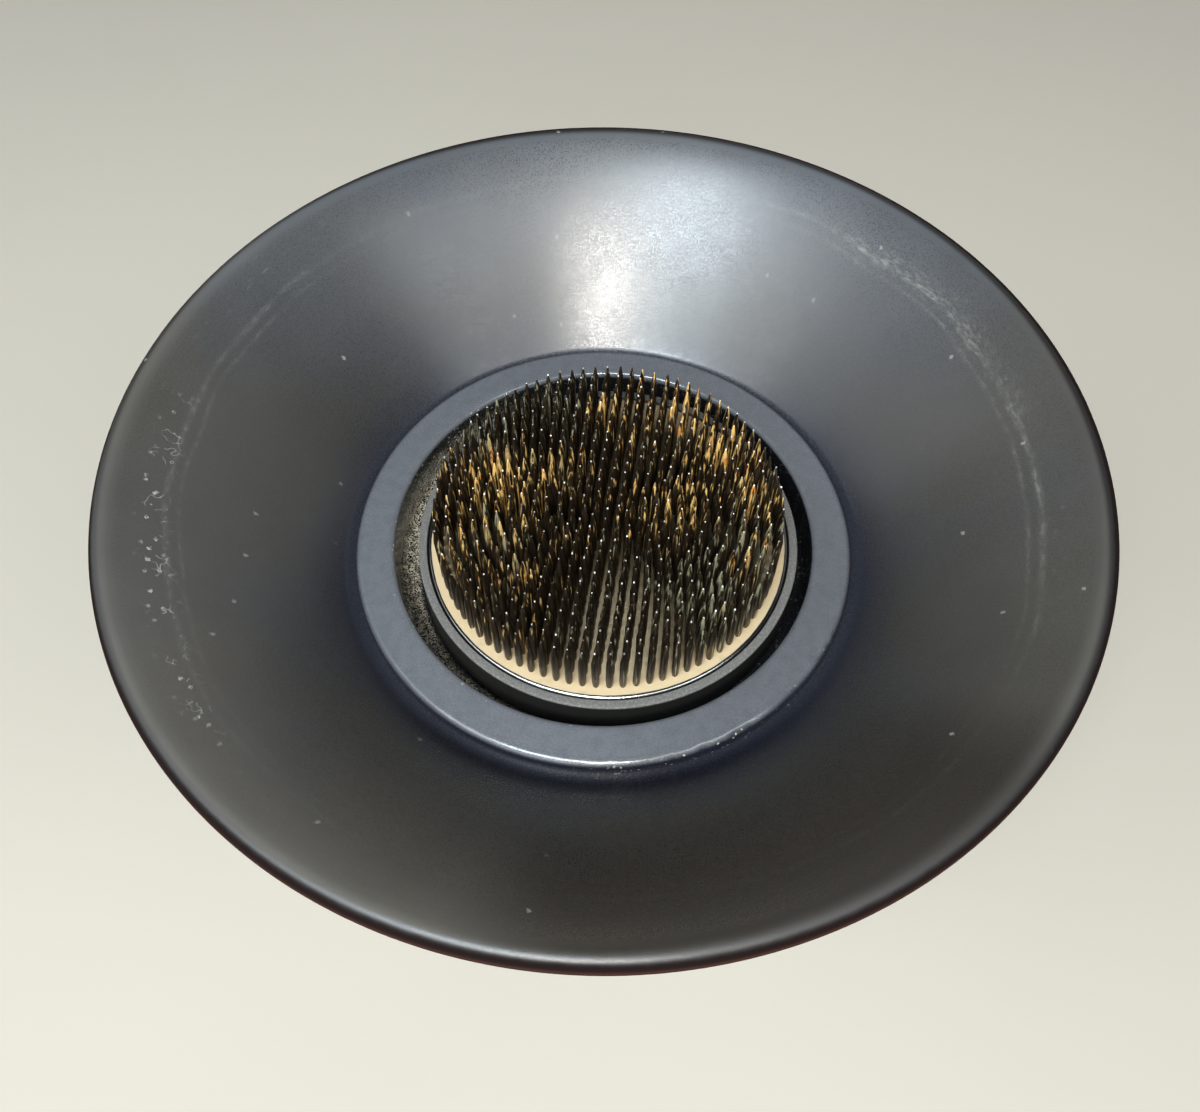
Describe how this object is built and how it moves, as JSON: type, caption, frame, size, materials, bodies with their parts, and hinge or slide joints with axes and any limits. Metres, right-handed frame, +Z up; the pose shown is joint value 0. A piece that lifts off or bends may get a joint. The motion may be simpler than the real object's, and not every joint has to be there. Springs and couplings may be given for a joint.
{
  "type": "ikebana vase",
  "caption": "Ikebana vase with a wide flared dish, a raised collar round a shallow well, a round needle flower holder in the well, and a hollow footed body below.",
  "frame": {"origin": "centre of the foot, on the surface that the vase stands on", "axes": "+Z up along the vase's axis; -Y towards the picture's viewer, +X to the viewer's right"},
  "size_m": [0.227, 0.227, 0.24],
  "materials": {
    "glaze": "satin charcoal glaze",
    "lead": "dull lead, pale cream on top",
    "needles": "tarnished dark brown, bright where bare",
    "rubber": "matt grey"
  },
  "bodies": {
    "body": {"lower_body": "glaze"},
    "dish": {"upper_dish": "glaze"},
    "kenzan": {"kenzan_lead_base": "lead", "kenzan_rubber_ring": "rubber", "kenzan_needles_1": "needles", "kenzan_needles_2": "needles", "kenzan_needles_3": "needles", "kenzan_needles_4": "needles", "kenzan_needles_5": "needles", "kenzan_needles_6": "needles", "kenzan_centre_needle": "needles"}
  },
  "joints": [
    {"name": "dish_lift", "type": "slide", "parent": "body", "child": "dish", "axis": [0, 0, 1], "range_m": [0, 0.06]},
    {"name": "kenzan_lift", "type": "slide", "parent": "dish", "child": "kenzan", "axis": [0, 0, 1], "range_m": [0, 0.06]}
  ]
}
